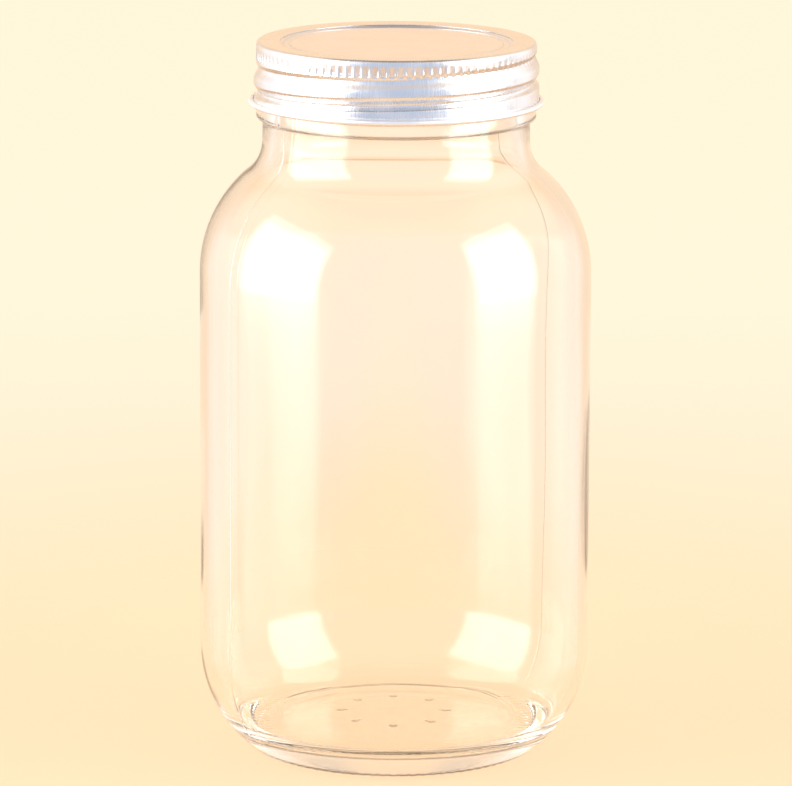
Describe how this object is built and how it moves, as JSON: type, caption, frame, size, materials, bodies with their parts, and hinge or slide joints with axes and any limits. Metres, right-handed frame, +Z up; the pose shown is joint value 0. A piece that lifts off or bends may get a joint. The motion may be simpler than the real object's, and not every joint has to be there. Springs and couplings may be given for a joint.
{
  "type": "mason jar",
  "caption": "Clear glass preserving jar with a flat metal lid disc, a soft sealing ring and a threaded screw band.",
  "frame": {"origin": "centre of the ring that the jar stands on, at floor level", "axes": "+Z up along the jar's axis, through the lid. The thread starts near +X, and the mould seams lie to the front left and the back right, seen from -Y."},
  "size_m": [0.0984, 0.0984, 0.18],
  "materials": {
    "clear_glass": "clear colourless pressed and blown soda glass, fire polished",
    "tinplate": "satin tinplate, lacquered, with faint circular brushing",
    "sealing_compound": "soft matte grey sealing compound",
    "band_steel": "satin tinplated steel with a knurled grip and a rolled bottom edge"
  },
  "bodies": {
    "jar": {"glass_jar": "clear_glass"},
    "lid": {"lid_disc": "tinplate", "sealing_ring": "sealing_compound"},
    "band": {"screw_band": "band_steel"}
  },
  "joints": [
    {"name": "lid_rise", "type": "slide", "parent": "jar", "child": "lid", "axis": [0, 0, 1], "range_m": [0, 0.0072]},
    {"name": "band_turn", "type": "hinge", "parent": "lid", "child": "band", "pos_m": [0, 0, 0.17], "axis": [0, 0, 1], "range_deg": [0, 405]}
  ],
  "couplings": [
    {"joint": "lid_rise", "follows": "band_turn", "m_per_rad": 0.0010106}
  ]
}
